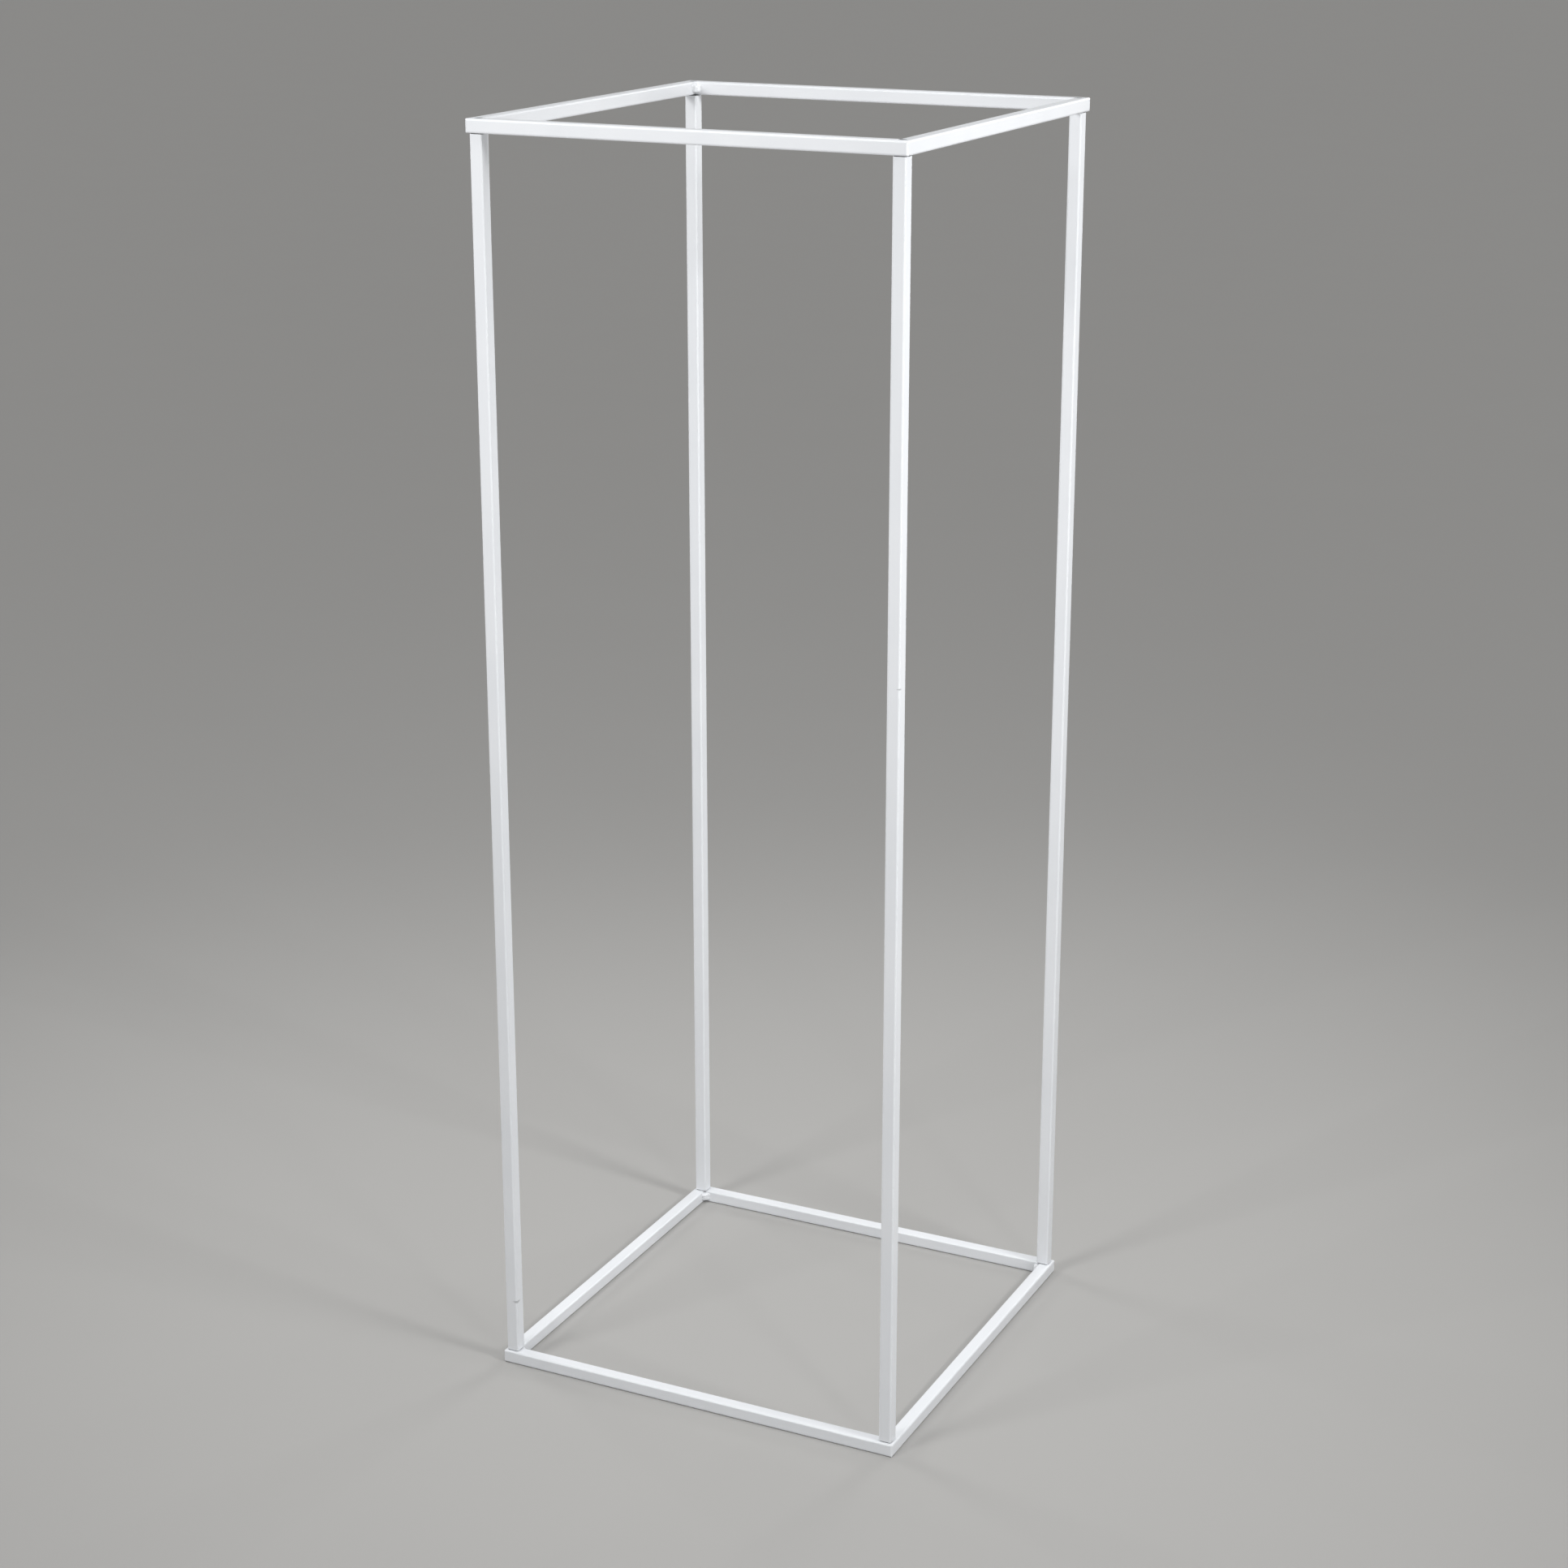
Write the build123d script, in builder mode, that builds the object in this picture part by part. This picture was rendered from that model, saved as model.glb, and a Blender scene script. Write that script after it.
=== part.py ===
from build123d import *
import os

# Display plinth: an open cage of slim square steel tube. Two welded square rings, one on the floor and
# one on top, are held apart by four posts. Each post end is closed by a black threaded plug, and a
# countersunk screw through the corner of the ring pulls the ring onto the plug.
# Frame: +Z up, origin on the floor under the middle of the footprint, front towards -Y, millimetres.

# ---- driving dimensions -------------------------------------------------------------------------------
plinth_side = 400.0          # footprint, outer face to outer face, the same both ways
plinth_height = 1150.0       # floor to the top faces of the top ring

tube_size = 12.0             # square tube of the rings and the posts, across its flats
tube_wall = 1.0
tube_corner = 1.7            # outer corner radius of the tube's section
ring_corner = 2.0            # the welded outer corners of a ring are ground to this radius
post_inset = 2.5             # from the outer faces of a ring to the outer faces of a post

flange_thickness = 0.8       # the plug's flange keeps the post this far off the ring, as a shadow gap
flange_step = 0.8            # the flange is this much smaller than the post, on each side
plug_length = 16.0           # the part of the plug inside the post
plug_fit = 0.05              # play between the plug's ribs and the tube, on each side
plug_core_step = 0.6         # the plug's core is this much smaller than its ribs, on each side
rib_count = 4
rib_thickness = 1.4
rib_corner = 0.8             # corner radius of the ribs and the core

screw_diameter = 4.0
screw_length = 25.0          # overall, as a countersunk screw is measured
screw_tip_chamfer = 0.6
screw_head_diameter = 7.2
screw_head_rim = 0.15        # straight rim above the head's cone
screw_head_depth = 0.1       # the head lies this far below the outer face of the ring
screw_hole_play = 0.2        # radial play of the shank in the ring
screw_seat_play = 0.05       # radial play of the head in its countersink
thread_play = 0.05           # radial play that stands in for the thread
cross_span = 4.2             # cross recess in the screw head
cross_width = 1.1
cross_depth = 1.5

weld_leg = 6.0               # bead in the inner corner of a ring, along each tube
weld_bulge = 0.5             # how far the face of the bead stands out from the straight line
weld_from_outer_face = 1.2   # the bead stops this far short of the ring's outer face
weld_from_post_face = 1.4    # and this far short of the face that the post stands on
weld_rounding = 0.8

# ---- sizes that follow --------------------------------------------------------------------------------
half_side = plinth_side / 2
tube_bore = tube_size - 2 * tube_wall
bore_corner = tube_corner - tube_wall
post_foot = tube_size + flange_thickness
post_length = plinth_height - 2 * post_foot
post_axis = half_side - post_inset - tube_size / 2
rib_size = tube_bore - 2 * plug_fit
core_size = rib_size - 2 * plug_core_step
rib_pitch = (plug_length - rib_thickness) / (rib_count - 1)
flange_size = tube_size - 2 * flange_step
screw_radius = screw_diameter / 2
head_radius = screw_head_diameter / 2
head_cone = head_radius - screw_radius     # a 90 degree cone is as deep as it narrows
seat_radius = head_radius + screw_seat_play + screw_head_depth + screw_head_rim
inner_corner = half_side - tube_size
weld_height = tube_size - weld_from_outer_face - weld_from_post_face

mid_height = Plane.XY.offset(plinth_height / 2)
corner_axes = [(x * post_axis, y * post_axis) for x, y in ((-1, -1), (1, -1), (1, 1), (-1, 1))]
side_turns = {"front": 0, "right": 90, "rear": 180, "left": 270}
corner_turns = {"front_left": 0, "front_right": 90, "rear_right": 180, "rear_left": 270}

os.makedirs("parts", exist_ok=True)


def save(builder, name):
    builder.part.label = name
    export_step(builder.part, f"parts/{name}.step")


def save_turned_and_mirrored(shape, turns, name_below, name_above):
    """Write one copy per side or corner of the bottom ring, and its mirror image at the top ring."""
    for place, turn in turns.items():
        with BuildPart() as lower:
            add(shape.part, rotation=(0, 0, turn))
        save(lower, name_below.format(place))
        with BuildPart() as upper:
            mirror(lower.part, about=mid_height)
        save(upper, name_above.format(place))


# ---- ring bars: four mitred tubes make a ring ---------------------------------------------------------
with BuildPart() as ring_bar:
    with BuildSketch(Plane.YZ.offset(-half_side)):
        with Locations((tube_size / 2 - half_side, tube_size / 2)):
            RectangleRounded(tube_size, tube_size, tube_corner)
            RectangleRounded(tube_bore, tube_bore, bore_corner, mode=Mode.SUBTRACT)
    extrude(amount=plinth_side)
    # mitres at both ends
    with BuildSketch():
        with BuildLine():
            Polyline(
                (-half_side, -half_side),
                (half_side, -half_side),
                (inner_corner, -inner_corner),
                (-inner_corner, -inner_corner),
                close=True,
            )
        make_face()
    extrude(amount=tube_size, mode=Mode.INTERSECT)
    # ground outer corners
    with BuildSketch():
        RectangleRounded(plinth_side, plinth_side, ring_corner)
    extrude(amount=tube_size, mode=Mode.INTERSECT)
    # a countersunk screw hole on each mitre, from the outer face of the ring
    with Locations(Plane((0, 0, 0), x_dir=(1, 0, 0), z_dir=(0, 0, -1))):
        with Locations((post_axis, post_axis), (-post_axis, post_axis)):
            CounterSinkHole(
                radius=screw_radius + screw_hole_play,
                counter_sink_radius=seat_radius,
                depth=tube_size,
                counter_sink_angle=90,
            )

save_turned_and_mirrored(ring_bar, side_turns, "bottom_{}_bar", "top_{}_bar")

# ---- weld beads in the inner corners of the rings -----------------------------------------------------
with BuildPart() as weld:
    with BuildSketch(Plane.XY.offset(weld_from_outer_face)):
        with BuildLine():
            Line((-inner_corner + weld_leg, -inner_corner), (-inner_corner, -inner_corner))
            Line((-inner_corner, -inner_corner), (-inner_corner, -inner_corner + weld_leg))
            SagittaArc(
                (-inner_corner, -inner_corner + weld_leg),
                (-inner_corner + weld_leg, -inner_corner),
                weld_bulge,
            )
        make_face()
    extrude(amount=weld_height)
    bulged_face = weld.faces().filter_by(GeomType.CYLINDER)
    fillet(bulged_face.edges().filter_by(Axis.Z, reverse=True), weld_rounding)

save_turned_and_mirrored(weld, corner_turns, "bottom_{}_corner_weld", "top_{}_corner_weld")

# ---- posts --------------------------------------------------------------------------------------------
for corner, turn in corner_turns.items():
    with BuildPart() as post:
        with BuildSketch(Plane.XY.offset(post_foot).rotated((0, 0, turn))):
            with Locations((-post_axis, -post_axis)):
                RectangleRounded(tube_size, tube_size, tube_corner)
                RectangleRounded(tube_bore, tube_bore, bore_corner, mode=Mode.SUBTRACT)
        extrude(amount=post_length)
    save(post, f"{corner}_post")

# ---- threaded plugs in the post ends ------------------------------------------------------------------
with BuildPart() as plug:
    with BuildSketch(Plane.XY.offset(tube_size)):
        with Locations((-post_axis, -post_axis)):
            RectangleRounded(flange_size, flange_size, tube_corner - flange_step)
    extrude(amount=flange_thickness)
    with BuildSketch(Plane.XY.offset(post_foot)):
        with Locations((-post_axis, -post_axis)):
            RectangleRounded(core_size, core_size, rib_corner)
    extrude(amount=plug_length)
    for rib in range(rib_count):
        with BuildSketch(Plane.XY.offset(post_foot + rib * rib_pitch)):
            with Locations((-post_axis, -post_axis)):
                RectangleRounded(rib_size, rib_size, rib_corner)
        extrude(amount=rib_thickness)
    with Locations((-post_axis, -post_axis, post_foot + plug_length)):
        Hole(radius=screw_radius + thread_play)

save_turned_and_mirrored(plug, corner_turns, "{}_post_bottom_plug", "{}_post_top_plug")

# ---- countersunk screws, one group of four at each ring -----------------------------------------------
with BuildPart() as bottom_screws:
    with Locations(*[(x, y, screw_head_depth) for x, y in corner_axes]):
        Cylinder(head_radius, screw_head_rim, align=(Align.CENTER, Align.CENTER, Align.MIN))
    with Locations(*[(x, y, screw_head_depth + screw_head_rim) for x, y in corner_axes]):
        Cone(head_radius, screw_radius, head_cone, align=(Align.CENTER, Align.CENTER, Align.MIN))
    with Locations(*[(x, y, screw_head_depth) for x, y in corner_axes]):
        Cylinder(screw_radius, screw_length, align=(Align.CENTER, Align.CENTER, Align.MIN))
    tips = bottom_screws.faces().group_by(Axis.Z)[-1]
    chamfer(tips.edges(), screw_tip_chamfer)
    with BuildSketch(Plane.XY.offset(screw_head_depth)):
        with Locations(*corner_axes):
            Rectangle(cross_span, cross_width)
            Rectangle(cross_width, cross_span)
    extrude(amount=cross_depth, mode=Mode.SUBTRACT)
save(bottom_screws, "bottom_screws")

with BuildPart() as top_screws:
    mirror(bottom_screws.part, about=mid_height)
save(top_screws, "top_screws")
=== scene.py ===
"""Finishes, weld beads, studio and camera for an open cage display plinth of white square tube.

The tubes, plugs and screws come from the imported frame, in metres, with +Z up, the front towards -Y and
the origin on the floor. This file gives them their finishes, lays the weld beads and sets the studio up.
"""

import math

import bmesh
import bpy
from bpy.props import FloatProperty, FloatVectorProperty, PointerProperty
from mathutils import Euler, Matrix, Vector, noise


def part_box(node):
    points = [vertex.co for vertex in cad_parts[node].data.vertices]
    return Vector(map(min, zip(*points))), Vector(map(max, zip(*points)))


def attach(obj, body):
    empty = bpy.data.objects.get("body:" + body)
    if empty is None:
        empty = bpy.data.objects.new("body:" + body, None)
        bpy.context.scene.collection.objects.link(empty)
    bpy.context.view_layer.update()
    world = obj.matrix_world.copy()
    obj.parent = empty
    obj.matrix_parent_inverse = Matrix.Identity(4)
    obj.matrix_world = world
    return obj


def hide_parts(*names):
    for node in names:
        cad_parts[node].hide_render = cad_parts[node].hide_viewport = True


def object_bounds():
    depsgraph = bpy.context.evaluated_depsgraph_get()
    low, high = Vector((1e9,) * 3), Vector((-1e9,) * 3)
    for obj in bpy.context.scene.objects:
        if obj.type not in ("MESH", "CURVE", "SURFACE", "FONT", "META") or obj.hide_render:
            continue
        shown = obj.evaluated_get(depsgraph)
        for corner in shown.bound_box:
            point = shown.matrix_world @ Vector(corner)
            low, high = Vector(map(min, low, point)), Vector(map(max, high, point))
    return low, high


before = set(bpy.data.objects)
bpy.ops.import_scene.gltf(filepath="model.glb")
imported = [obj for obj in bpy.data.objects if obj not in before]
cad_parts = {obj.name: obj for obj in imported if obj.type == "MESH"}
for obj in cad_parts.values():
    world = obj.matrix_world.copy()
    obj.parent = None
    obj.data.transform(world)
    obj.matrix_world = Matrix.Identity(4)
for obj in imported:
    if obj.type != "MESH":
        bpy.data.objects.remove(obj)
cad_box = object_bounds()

bl_info = {
    "name": "Display Plinth",
    "version": (1, 0, 0),
    "blender": (4, 5, 0),
    "location": "3D Viewport > Sidebar > Plinth",
    "description": "Finishes, weld beads and studio for an open cage display plinth",
    "category": "Object",
}

MM = 0.001
NOISE_LOW, NOISE_HIGH = 0.3, 0.7  # a noise texture seldom leaves this range


def linear(hex_colour):
    """An sRGB hex colour as linear red, green and blue."""
    parts = [int(hex_colour[i : i + 2], 16) / 255 for i in (1, 3, 5)]
    return tuple(c / 12.92 if c <= 0.04045 else ((c + 0.055) / 1.055) ** 2.4 for c in parts)


def nodes_ending(*endings):
    """The frame's nodes whose names end in one of these words, in name order."""
    return [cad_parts[name] for name in sorted(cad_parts) if name.endswith(endings)]


def weld_leg():
    """How far a weld bead reaches along each tube, from the box of one bead in the frame."""
    low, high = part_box(nodes_ending("_corner_weld")[0].name)
    return high.x - low.x


# ---- settings -----------------------------------------------------------------------------------------


class PlinthCoat(bpy.types.PropertyGroup):
    """The powder coat on the tubes."""

    colour: FloatVectorProperty(
        name="Coat colour",
        description="Powder coat where the film is full",
        subtype="COLOR",
        min=0.0,
        max=1.0,
        default=linear("#F2F4F7"),
    )
    thin_colour: FloatVectorProperty(
        name="Thin coat colour",
        description="Powder coat where the film is thinner and the steel greys it",
        subtype="COLOR",
        min=0.0,
        max=1.0,
        default=linear("#E9ECF0"),
    )
    roughness: FloatProperty(
        name="Roughness",
        description="Satin sheen of the coat, 0 for a mirror and 1 for chalk",
        subtype="FACTOR",
        min=0.0,
        max=1.0,
        default=0.35,
    )
    rub: FloatProperty(
        name="Rub strength",
        description="How dark the rubs on the two front posts are",
        subtype="FACTOR",
        min=0.0,
        max=1.0,
        default=0.5,
    )
    peel_size: FloatProperty(
        name="Orange peel size",
        description="Width of one dimple of the orange peel",
        subtype="DISTANCE",
        unit="LENGTH",
        min=0.0002,
        default=2.4 * MM,
    )
    peel_depth: FloatProperty(
        name="Orange peel depth",
        description="Depth of the orange peel's dimples",
        subtype="DISTANCE",
        unit="LENGTH",
        min=0.0,
        default=0.02 * MM,
    )


class PlinthWeld(bpy.types.PropertyGroup):
    """The beads in the inner corners of the rings."""

    leg: FloatProperty(
        name="Leg",
        description="Reach of a bead along each tube",
        subtype="DISTANCE",
        unit="LENGTH",
        min=0.001,
        default=weld_leg(),
    )
    bulge: FloatProperty(
        name="Bulge",
        description="How far the face of a bead stands out from the straight line between its toes",
        subtype="DISTANCE",
        unit="LENGTH",
        min=0.0,
        default=0.85 * MM,
    )
    ripple_pitch: FloatProperty(
        name="Ripple pitch",
        description="Distance from one ripple of a bead to the next",
        subtype="DISTANCE",
        unit="LENGTH",
        min=0.0003,
        default=1.7 * MM,
    )
    ripple_height: FloatProperty(
        name="Ripple height",
        description="Height of the ripples under the coat",
        subtype="DISTANCE",
        unit="LENGTH",
        min=0.0,
        default=0.05 * MM,
    )
    unevenness: FloatProperty(
        name="Unevenness",
        description="Height of the lumps that a hand-held torch leaves",
        subtype="DISTANCE",
        unit="LENGTH",
        min=0.0,
        default=0.55 * MM,
    )
    crater: FloatProperty(
        name="Crater",
        description="Depth of the pit where the torch is lifted off",
        subtype="DISTANCE",
        unit="LENGTH",
        min=0.0,
        default=0.9 * MM,
    )


class PlinthStudio(bpy.types.PropertyGroup):
    """Floor, lamps and camera."""

    floor_colour: FloatVectorProperty(
        name="Floor colour",
        description="Matt paint of the studio floor",
        subtype="COLOR",
        min=0.0,
        max=1.0,
        default=linear("#AFAEAC"),
    )
    backdrop_colour: FloatVectorProperty(
        name="Backdrop colour",
        description="What shows beyond the floor",
        subtype="COLOR",
        min=0.0,
        max=1.0,
        default=linear("#8A8A88"),
    )
    overhead: FloatProperty(
        name="Overhead strength",
        description="Strength of the wide light from the ceiling",
        min=0.0,
        default=1.22,
    )
    room: FloatProperty(
        name="Room strength",
        description="Strength of the light that comes evenly from the whole room",
        min=0.0,
        default=0.2,
    )
    key: FloatProperty(
        name="Key power",
        description="Power of the softbox at the right",
        subtype="POWER",
        unit="POWER",
        min=0.0,
        default=5.7,
    )
    front: FloatProperty(
        name="Front power",
        description="Power of the softbox at the front left",
        subtype="POWER",
        unit="POWER",
        min=0.0,
        default=4.9,
    )
    strip: FloatProperty(
        name="Strip power",
        description="Power of the tall strip box that draws a light line down each post's near edge",
        subtype="POWER",
        unit="POWER",
        min=0.0,
        default=1.9,
    )
    back: FloatProperty(
        name="Back power",
        description="Power of each of the two softboxes behind the plinth",
        subtype="POWER",
        unit="POWER",
        min=0.0,
        default=3.3,
    )
    lens: FloatProperty(
        name="Lens",
        description="Focal length of the camera on its 36 mm sensor",
        subtype="DISTANCE_CAMERA",
        unit="CAMERA",
        min=10.0,
        default=69.45,
    )
    camera_place: FloatVectorProperty(
        name="Camera place",
        description="Where the camera stands, from the middle of the footprint",
        subtype="TRANSLATION",
        unit="LENGTH",
        default=(1.151, -2.372, 1.399),
    )
    camera_pan: FloatProperty(
        name="Camera pan",
        description="Turn of the camera about the vertical, from looking towards the back",
        subtype="ANGLE",
        unit="ROTATION",
        default=0.4531,
    )
    camera_tilt: FloatProperty(
        name="Camera tilt",
        description="How far the camera looks down from level",
        subtype="ANGLE",
        unit="ROTATION",
        default=0.3142,
    )


# ---- finishes -----------------------------------------------------------------------------------------


def new_finish(name):
    """An empty material, its node tree and its surface output."""
    material = bpy.data.materials.new(name)
    material.use_nodes = True
    tree = material.node_tree
    tree.nodes.clear()
    return material, tree, tree.nodes.new("ShaderNodeOutputMaterial")


def add_node(tree, kind, inputs=None, **settings):
    """Add one node with its settings. An input is a plain value, or the socket that feeds it."""
    node = tree.nodes.new(kind)
    for key, value in settings.items():
        setattr(node, key, value)
    for key, value in (inputs or {}).items():
        if isinstance(value, bpy.types.NodeSocket):
            tree.links.new(value, node.inputs[key])
        else:
            node.inputs[key].default_value = value
    return node


# small rubs in the coat of the posts: height above the post's foot, then the rub's reach along X, Y, Z
RUBS = {
    "front_left_post": (51 * MM, (4.5 * MM, 6.5 * MM, 1.5 * MM)),
    "front_right_post": (696 * MM, (3.2 * MM, 3.2 * MM, 0.9 * MM)),
}
RUB_GRIT = 1.1 * MM
RUB_COLOUR = "#6F7274"
RUB_GONE = 1.55  # a rub is gone where its distance, in reaches, and the grit add up to this
RUB_FULL = 0.95  # and full where they add up to this


def rub_mask(tree, place, grit, post, up, reach):
    """One rub across a post's front edge on the +X side: 1 in its middle and 0 outside it, with a
    ragged rim."""
    low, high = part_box(post)
    offset = add_node(
        tree,
        "ShaderNodeVectorMath",
        {0: place, 1: (high.x, low.y, low.z + up)},
        operation="SUBTRACT",
    )
    scaled = add_node(
        tree, "ShaderNodeVectorMath", {0: offset.outputs["Vector"], 1: reach}, operation="DIVIDE"
    )
    away = add_node(
        tree, "ShaderNodeVectorMath", {0: scaled.outputs["Vector"]}, operation="LENGTH"
    )
    ragged = add_node(
        tree, "ShaderNodeMath", {0: away.outputs["Value"], 1: grit}, operation="ADD"
    )
    return add_node(
        tree,
        "ShaderNodeMapRange",
        {
            "Value": ragged.outputs["Value"],
            "From Min": RUB_GONE,
            "From Max": RUB_FULL,
            "To Min": 0.0,
            "To Max": 1.0,
        },
    ).outputs["Result"]


def rubs_mask(tree, place):
    """All the rubs of the posts together."""
    grit = add_node(
        tree, "ShaderNodeTexNoise", {"Vector": place, "Scale": 1 / RUB_GRIT, "Detail": 2.0}
    ).outputs["Fac"]
    together = None
    for post, (up, reach) in RUBS.items():
        mask = rub_mask(tree, place, grit, post, up, reach)
        if together is not None:
            mask = add_node(
                tree, "ShaderNodeMath", {0: together, 1: mask}, operation="MAXIMUM"
            ).outputs["Value"]
        together = mask
    return together


def powder_coat(name, coat, peel_size, peel_depth):
    """Satin polyester powder coat, sprayed on steel and baked: an even, slightly cool white film that
    flows into soft dimples, so lamps show in it as broad glows with a faintly uneven edge."""
    material, tree, output = new_finish(name)
    place = add_node(tree, "ShaderNodeTexCoord").outputs["Object"]

    # the film is a little thinner here and there, over a hand's width
    film_patch = 70 * MM
    film = add_node(
        tree,
        "ShaderNodeTexNoise",
        {"Vector": place, "Scale": 1 / film_patch, "Detail": 2.0, "Roughness": 0.5},
    )
    colour = add_node(
        tree,
        "ShaderNodeMix",
        {
            "Factor": film.outputs["Fac"],
            "A": (*coat.colour, 1.0),
            "B": (*coat.thin_colour, 1.0),
        },
        data_type="RGBA",
    )
    rub = add_node(
        tree, "ShaderNodeMath", {0: rubs_mask(tree, place), 1: coat.rub}, operation="MULTIPLY"
    )
    rubbed = add_node(
        tree,
        "ShaderNodeMix",
        {
            "Factor": rub.outputs["Value"],
            "A": colour.outputs["Result"],
            "B": (*linear(RUB_COLOUR), 1.0),
        },
        data_type="RGBA",
    )

    # baked film is glossier where it is thick
    gloss_patch = 25 * MM
    gloss_swing = 0.05
    gloss = add_node(
        tree,
        "ShaderNodeTexNoise",
        {"Vector": place, "Scale": 1 / gloss_patch, "Detail": 3.0, "Roughness": 0.55},
    )
    sheen = add_node(
        tree,
        "ShaderNodeMapRange",
        {
            "Value": gloss.outputs["Fac"],
            "From Min": NOISE_LOW,
            "From Max": NOISE_HIGH,
            "To Min": coat.roughness - gloss_swing,
            "To Max": coat.roughness + gloss_swing,
        },
    )

    # orange peel, the dimples that the melted powder sets into
    peel = add_node(
        tree,
        "ShaderNodeTexNoise",
        {"Vector": place, "Scale": 1 / peel_size, "Detail": 1.0, "Roughness": 0.4},
    )
    relief = add_node(
        tree,
        "ShaderNodeBump",
        {"Height": peel.outputs["Fac"], "Distance": peel_depth, "Strength": 1.0},
    )
    shader = add_node(
        tree,
        "ShaderNodeBsdfPrincipled",
        {
            "Base Color": rubbed.outputs["Result"],
            "Roughness": sheen.outputs["Result"],
            "IOR": 1.5,
            "Normal": relief.outputs["Normal"],
        },
    )
    tree.links.new(shader.outputs["BSDF"], output.inputs["Surface"])
    return material


def moulded_nylon():
    """Black nylon, injection moulded in a spark-eroded mould: a dull skin with a fine grain that keeps
    the narrow gap under each ring dark."""
    material, tree, output = new_finish("Black moulded nylon")
    place = add_node(tree, "ShaderNodeTexCoord").outputs["Object"]
    grain_size = 0.35 * MM
    grain_depth = 0.01 * MM
    grain = add_node(
        tree, "ShaderNodeTexNoise", {"Vector": place, "Scale": 1 / grain_size, "Detail": 2.0}
    )
    colour = add_node(
        tree,
        "ShaderNodeMix",
        {
            "Factor": grain.outputs["Fac"],
            "A": (*linear("#17181A"), 1.0),
            "B": (*linear("#232426"), 1.0),
        },
        data_type="RGBA",
    )
    relief = add_node(
        tree,
        "ShaderNodeBump",
        {"Height": grain.outputs["Fac"], "Distance": grain_depth, "Strength": 1.0},
    )
    shader = add_node(
        tree,
        "ShaderNodeBsdfPrincipled",
        {
            "Base Color": colour.outputs["Result"],
            "Roughness": 0.62,
            "IOR": 1.53,
            "Normal": relief.outputs["Normal"],
        },
    )
    tree.links.new(shader.outputs["BSDF"], output.inputs["Surface"])
    return material


def zinc_plate():
    """Bright zinc plating on a cold-headed steel screw: a greyish, faintly blue metal that reads as a
    small grey disc in the white corner."""
    material, tree, output = new_finish("Bright zinc plated steel")
    place = add_node(tree, "ShaderNodeTexCoord").outputs["Object"]
    bloom_size = 1.6 * MM
    bloom = add_node(
        tree, "ShaderNodeTexNoise", {"Vector": place, "Scale": 1 / bloom_size, "Detail": 3.0}
    )
    colour = add_node(
        tree,
        "ShaderNodeMix",
        {
            "Factor": bloom.outputs["Fac"],
            "A": (*linear("#AEB4BA"), 1.0),
            "B": (*linear("#8F9499"), 1.0),
        },
        data_type="RGBA",
    )
    dullness = add_node(
        tree,
        "ShaderNodeMapRange",
        {"Value": bloom.outputs["Fac"], "To Min": 0.28, "To Max": 0.46},
    )
    shader = add_node(
        tree,
        "ShaderNodeBsdfPrincipled",
        {
            "Base Color": colour.outputs["Result"],
            "Metallic": 1.0,
            "Roughness": dullness.outputs["Result"],
        },
    )
    tree.links.new(shader.outputs["BSDF"], output.inputs["Surface"])
    return material


def matt_floor_paint(colour):
    """Matt floor paint, rolled on: flat, with hardly any sheen and a faint mottle from the roller."""
    material, tree, output = new_finish("Matt floor paint")
    place = add_node(tree, "ShaderNodeTexCoord").outputs["Object"]
    roller_mark = 250 * MM
    mottle_shade = 0.985
    mottle = add_node(
        tree, "ShaderNodeTexNoise", {"Vector": place, "Scale": 1 / roller_mark, "Detail": 2.0}
    )
    shade = add_node(
        tree,
        "ShaderNodeMix",
        {
            "Factor": mottle.outputs["Fac"],
            "A": (*(c * mottle_shade for c in colour), 1.0),
            "B": (*colour, 1.0),
        },
        data_type="RGBA",
    )
    shader = add_node(
        tree,
        "ShaderNodeBsdfPrincipled",
        {"Base Color": shade.outputs["Result"], "Roughness": 0.9, "Specular IOR Level": 0.2},
    )
    tree.links.new(shader.outputs["BSDF"], output.inputs["Surface"])
    return material


def finish(obj, material):
    """Put one material in every slot of a frame node or a new piece."""
    if not obj.material_slots:
        obj.data.materials.append(material)
    for slot in obj.material_slots:
        slot.material = material


class PLINTH_OT_coat_tubes(bpy.types.Operator):
    """Powder coat the bars of both rings and the four posts"""

    bl_idname = "plinth.coat_tubes"
    bl_label = "Coat Tubes"

    def execute(self, context):
        coat = context.scene.plinth_coat
        white = powder_coat("Satin polyester powder coat", coat, coat.peel_size, coat.peel_depth)
        for tube in nodes_ending("_bar", "_post"):
            finish(tube, white)
        return {"FINISHED"}


class PLINTH_OT_fit_plugs(bpy.types.Operator):
    """Give the threaded plugs in the post ends their black nylon"""

    bl_idname = "plinth.fit_plugs"
    bl_label = "Fit Plugs"

    def execute(self, context):
        nylon = moulded_nylon()
        for plug in nodes_ending("_plug"):
            finish(plug, nylon)
        return {"FINISHED"}


class PLINTH_OT_plate_screws(bpy.types.Operator):
    """Plate the countersunk screws in the ring corners"""

    bl_idname = "plinth.plate_screws"
    bl_label = "Plate Screws"

    def execute(self, context):
        zinc = zinc_plate()
        for screws in nodes_ending("_screws"):
            finish(screws, zinc)
        return {"FINISHED"}


# ---- weld beads ---------------------------------------------------------------------------------------

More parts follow.
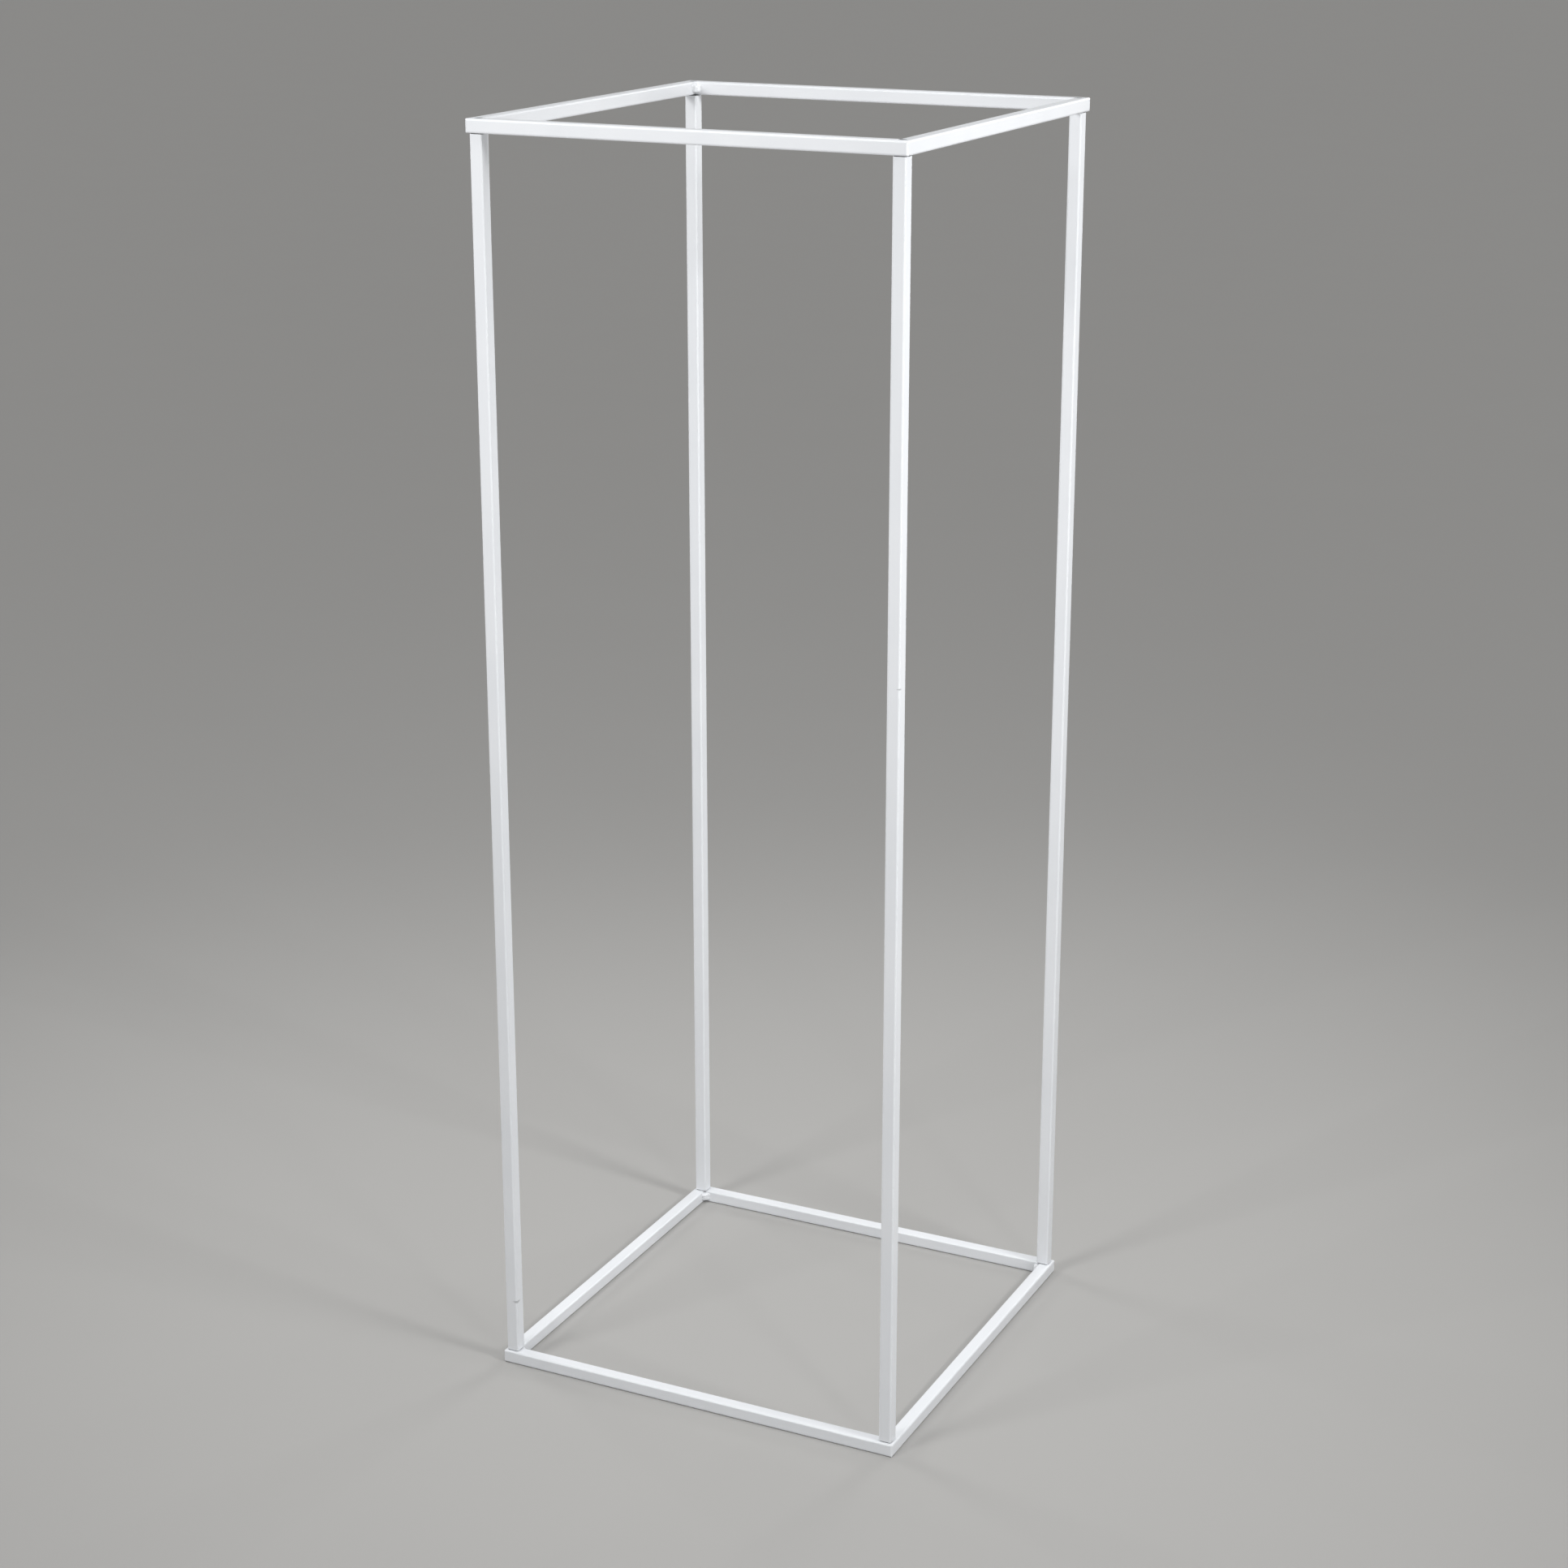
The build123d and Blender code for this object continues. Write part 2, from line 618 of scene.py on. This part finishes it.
BEAD_ROWS = 64  # sections along a bead
BEAD_STEPS = 28  # points across the face of a section
TOE_FILLET = 0.5 * MM  # where the coat flows from the bead onto the tube
TOE_ALONG, TOE_UP = 0.25, 0.14  # the middle of that fillet, as shares of it
HAND_WANDER = 0.12  # share by which the hand makes a bead wider or narrower
WANDER_LENGTH = 3.5 * MM
END_REACH = 0.2  # share of a bead's reach that is left at its domed ends
RIPPLE_TRAIL = 0.55  # share of the pitch by which a ripple's ends trail behind its middle
LUMP_SIZE = 2.6 * MM
LUMP_FALL, LUMP_STEP, LUMP_LEVELS = 0.9, 2.0, 2  # how the fractal adds finer lumps to the wide ones
CRATER_RADIUS = 0.75 * MM
CRATER_UP, CRATER_UP_PLAY = 0.8, 0.06  # shares of a bead's height
CRATER_ACROSS, CRATER_ACROSS_PLAY = 0.5, 0.25  # shares of its face
FACE_LENGTH = 1.4  # the face of a bead, toe to toe, in legs
DEEPEST = 0.4  # no pit goes deeper than this share of the leg


def bead_section(up, height, weld, seed):
    """Points across the face of a bead at one height, as distances along one tube and the other. The
    seed keeps one bead's lumps, wander and crater apart from the next one's."""
    # both ends of the bead are domed, and its reach wanders as the hand does
    from_middle = abs(2 * up / height - 1)
    wander = 1 + HAND_WANDER * noise.noise(Vector((seed + 0.5, up / WANDER_LENGTH, 9.1)))
    leg = weld.leg * wander * max(END_REACH, (1 - from_middle**4) ** 0.5)
    toe = TOE_FILLET * leg / weld.leg
    # the torch leaves a crater at one end, a little off the middle of the face
    crater_up = height * (CRATER_UP + CRATER_UP_PLAY * noise.noise(Vector((seed, 3.3, 0.0))))
    crater_across = CRATER_ACROSS + CRATER_ACROSS_PLAY * noise.noise(Vector((seed, 0.0, 5.7)))
    points = [(leg + toe, 0.0), (leg + TOE_ALONG * toe, TOE_UP * toe)]
    for step in range(1, BEAD_STEPS):
        across = step / BEAD_STEPS
        crown = 4 * across * (1 - across)
        # each ripple is a crescent that trails at its ends
        phase = (up / weld.ripple_pitch - RIPPLE_TRAIL * crown) % 1
        ripple = weld.ripple_height * (1 - (2 * phase - 1) ** 2)
        place = Vector((across * weld.leg / LUMP_SIZE, up / LUMP_SIZE, 7.0 * seed))
        lump = weld.unevenness * noise.fractal(place, LUMP_FALL, LUMP_STEP, LUMP_LEVELS)
        away = math.hypot(up - crater_up, (across - crater_across) * FACE_LENGTH * weld.leg)
        pit = weld.crater * math.exp(-((away / CRATER_RADIUS) ** 2))
        out = (weld.bulge * crown + (ripple + lump) * crown**0.5) * leg / weld.leg - pit
        # from square to the face to along each tube
        out = max(out, -DEEPEST * leg * crown) / 2**0.5
        points.append((leg * (1 - across) + out, leg * across + out))
    points += [(TOE_UP * toe, leg + TOE_ALONG * toe), (0.0, leg + toe)]
    return points


def lay_bead(node, weld, coated, seed):
    """Lay a rippled bead in the corner that this frame node's plain bead fills, and stand for it."""
    low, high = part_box(node.name)
    centre = (low + high) / 2
    # the corner where the two tubes meet is the one farthest from the middle of the ring
    towards = Vector((-math.copysign(1, centre.x), -math.copysign(1, centre.y)))
    corner = Vector((low.x if towards.x > 0 else high.x, low.y if towards.y > 0 else high.y))
    height = high.z - low.z

    mesh = bmesh.new()
    rings = []
    for row in range(BEAD_ROWS + 1):
        up = height * row / BEAD_ROWS
        section = bead_section(up, height, weld, seed) + [(0.0, 0.0)]
        rings.append(
            [
                mesh.verts.new((corner.x + towards.x * a, corner.y + towards.y * b, low.z + up))
                for a, b in section
            ]
        )
    across = len(rings[0])
    for lower, upper in zip(rings, rings[1:]):
        for i in range(across):
            j = (i + 1) % across
            face = mesh.faces.new((lower[i], lower[j], upper[j], upper[i]))
            # the two sides against the tubes stay flat
            face.smooth = j != 0 and i != across - 2
    mesh.faces.new(rings[0])
    mesh.faces.new(rings[-1])
    bmesh.ops.recalc_face_normals(mesh, faces=mesh.faces)
    data = bpy.data.meshes.new(node.name + "_bead")
    mesh.to_mesh(data)
    mesh.free()

    bead = bpy.data.objects.new(node.name + "_bead", data)
    bpy.context.scene.collection.objects.link(bead)
    finish(bead, coated)
    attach(bead, "root")
    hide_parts(node.name)


class PLINTH_OT_lay_beads(bpy.types.Operator):
    """Lay a weld bead in each inner corner of both rings"""

    bl_idname = "plinth.lay_beads"
    bl_label = "Lay Weld Beads"

    def execute(self, context):
        coat = context.scene.plinth_coat
        # the film runs thicker in a corner, so its dimples are wider and deeper
        wider, deeper = 1.3, 1.6
        coated = powder_coat(
            "Powder coat over weld", coat, wider * coat.peel_size, deeper * coat.peel_depth
        )
        for seed, node in enumerate(nodes_ending("_corner_weld")):
            lay_bead(node, context.scene.plinth_weld, coated, seed)
        return {"FINISHED"}


# ---- studio -------------------------------------------------------------------------------------------

FLOOR_HALF = 48.0
FLOOR_SQUARES = 8  # along each side of the floor's mesh
UNDER_RING = 0.1 * MM  # the floor lies this far below the bottom ring
CEILING_ANGLE = 50  # how wide the ceiling light looks from the plinth, in degrees
GRID_SPREAD = 75  # the cone that the softboxes' grids let through, in degrees
SENSOR_WIDTH = 36.0
# each softbox: the setting with its power, where it stands, the height it is aimed at over the middle of
# the footprint, and its width and height, in metres
SOFTBOXES = {
    "key_softbox": ("key", (2.1, -0.32, 1.75), 0.82, 0.45, 0.45),
    "front_softbox": ("front", (-0.9, -2.0, 1.7), 0.9, 0.6, 0.6),
    "strip_box": ("strip", (1.75, -1.45, 0.75), 0.75, 0.2, 1.0),
    "left_softbox": ("back", (-2.3, 0.6, 1.4), 0.8, 0.8, 0.8),
    "back_softbox": ("back", (0.4, 2.4, 1.4), 0.8, 0.8, 0.8),
}


def softbox(name, power, place, aim_height, width, height):
    """A lamp behind a grid that keeps most of its light off the floor, hidden from the camera."""
    data = bpy.data.lights.new(name, "AREA")
    data.shape = "RECTANGLE"
    data.size = width
    data.size_y = height
    data.energy = power
    data.spread = math.radians(GRID_SPREAD)
    lamp = bpy.data.objects.new(name, data)
    lamp.location = place
    towards = Vector((0, 0, aim_height)) - Vector(place)
    lamp.rotation_euler = towards.to_track_quat("-Z", "Y").to_euler()
    lamp.visible_camera = False
    bpy.context.scene.collection.objects.link(lamp)


def studio_world(studio):
    """The room lights the plinth evenly, and shows as a plain backdrop."""
    world = bpy.data.worlds.new("Studio room")
    world.use_nodes = True
    tree = world.node_tree
    tree.nodes.clear()
    rays = add_node(tree, "ShaderNodeLightPath")
    seen_or_mirrored = add_node(
        tree,
        "ShaderNodeMath",
        {0: rays.outputs["Is Camera Ray"], 1: rays.outputs["Is Glossy Ray"]},
        operation="MAXIMUM",
    )
    shown = add_node(
        tree,
        "ShaderNodeMath",
        {0: seen_or_mirrored.outputs["Value"], 1: rays.outputs["Is Transmission Ray"]},
        operation="MAXIMUM",
    )
    light = add_node(
        tree, "ShaderNodeBackground", {"Color": (1.0, 1.0, 1.0, 1.0), "Strength": studio.room}
    )
    backdrop = add_node(
        tree, "ShaderNodeBackground", {"Color": (*studio.backdrop_colour, 1.0), "Strength": 1.0}
    )
    mix = add_node(
        tree,
        "ShaderNodeMixShader",
        {0: shown.outputs["Value"], 1: light.outputs["Background"], 2: backdrop.outputs["Background"]},
    )
    output = add_node(tree, "ShaderNodeOutputWorld")
    tree.links.new(mix.outputs["Shader"], output.inputs["Surface"])
    return world


class PLINTH_OT_set_studio(bpy.types.Operator):
    """Build the floor, the lamps, the backdrop and the camera"""

    bl_idname = "plinth.set_studio"
    bl_label = "Set Studio"

    def execute(self, context):
        scene = context.scene
        studio = scene.plinth_studio
        low, _ = cad_box

        mesh = bmesh.new()
        bmesh.ops.create_grid(
            mesh, x_segments=FLOOR_SQUARES, y_segments=FLOOR_SQUARES, size=FLOOR_HALF
        )
        data = bpy.data.meshes.new("studio_floor")
        mesh.to_mesh(data)
        mesh.free()
        floor = bpy.data.objects.new("studio_floor", data)
        floor.location.z = low.z - UNDER_RING
        scene.collection.objects.link(floor)
        finish(floor, matt_floor_paint(studio.floor_colour))

        # a wide, even light that shines straight down
        sky = bpy.data.lights.new("ceiling_light", "SUN")
        sky.energy = studio.overhead
        sky.angle = math.radians(CEILING_ANGLE)
        ceiling = bpy.data.objects.new("ceiling_light", sky)
        scene.collection.objects.link(ceiling)

        # most softboxes are aimed at the upper half, so that the posts darken towards the floor
        for name, (power, place, aim_height, width, height) in SOFTBOXES.items():
            softbox(name, getattr(studio, power), place, aim_height, width, height)

        scene.world = studio_world(studio)
        scene.view_settings.view_transform = "Standard"

        # lens shift stays at 0, so that the plinth stays in the picture from every side
        data = bpy.data.cameras.new("studio_camera")
        data.sensor_width = SENSOR_WIDTH
        data.lens = studio.lens
        camera = bpy.data.objects.new("studio_camera", data)
        camera.location = studio.camera_place
        level = math.radians(90)
        camera.rotation_euler = Euler((level - studio.camera_tilt, 0, studio.camera_pan))
        scene.collection.objects.link(camera)
        scene.camera = camera
        return {"FINISHED"}


# ---- panel and registration ---------------------------------------------------------------------------


class PLINTH_PT_tools(bpy.types.Panel):
    """Lists the settings and steps of the plinth"""

    bl_idname = "PLINTH_PT_tools"
    bl_label = "Display Plinth"
    bl_space_type = "VIEW_3D"
    bl_region_type = "UI"
    bl_category = "Plinth"

    def draw(self, context):
        for settings, steps in (
            ("plinth_coat", (PLINTH_OT_coat_tubes, PLINTH_OT_fit_plugs, PLINTH_OT_plate_screws)),
            ("plinth_weld", (PLINTH_OT_lay_beads,)),
            ("plinth_studio", (PLINTH_OT_set_studio,)),
        ):
            box = self.layout.box()
            group = getattr(context.scene, settings)
            for key in group.bl_rna.properties.keys():
                if key not in ("rna_type", "name"):
                    box.prop(group, key)
            for step in steps:
                box.operator(step.bl_idname)


CLASSES = (
    PlinthCoat,
    PlinthWeld,
    PlinthStudio,
    PLINTH_OT_coat_tubes,
    PLINTH_OT_fit_plugs,
    PLINTH_OT_plate_screws,
    PLINTH_OT_lay_beads,
    PLINTH_OT_set_studio,
    PLINTH_PT_tools,
)


def register():
    """Register the classes and give the scene its settings."""
    for cls in CLASSES:
        bpy.utils.register_class(cls)
    bpy.types.Scene.plinth_coat = PointerProperty(type=PlinthCoat)
    bpy.types.Scene.plinth_weld = PointerProperty(type=PlinthWeld)
    bpy.types.Scene.plinth_studio = PointerProperty(type=PlinthStudio)


def unregister():
    """Take the settings and classes away again."""
    del bpy.types.Scene.plinth_studio
    del bpy.types.Scene.plinth_weld
    del bpy.types.Scene.plinth_coat
    for cls in reversed(CLASSES):
        bpy.utils.unregister_class(cls)


def main():
    """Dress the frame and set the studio."""
    register()
    bpy.ops.plinth.coat_tubes()
    bpy.ops.plinth.fit_plugs()
    bpy.ops.plinth.plate_screws()
    bpy.ops.plinth.lay_beads()
    bpy.ops.plinth.set_studio()


if __name__ == "__main__":
    main()
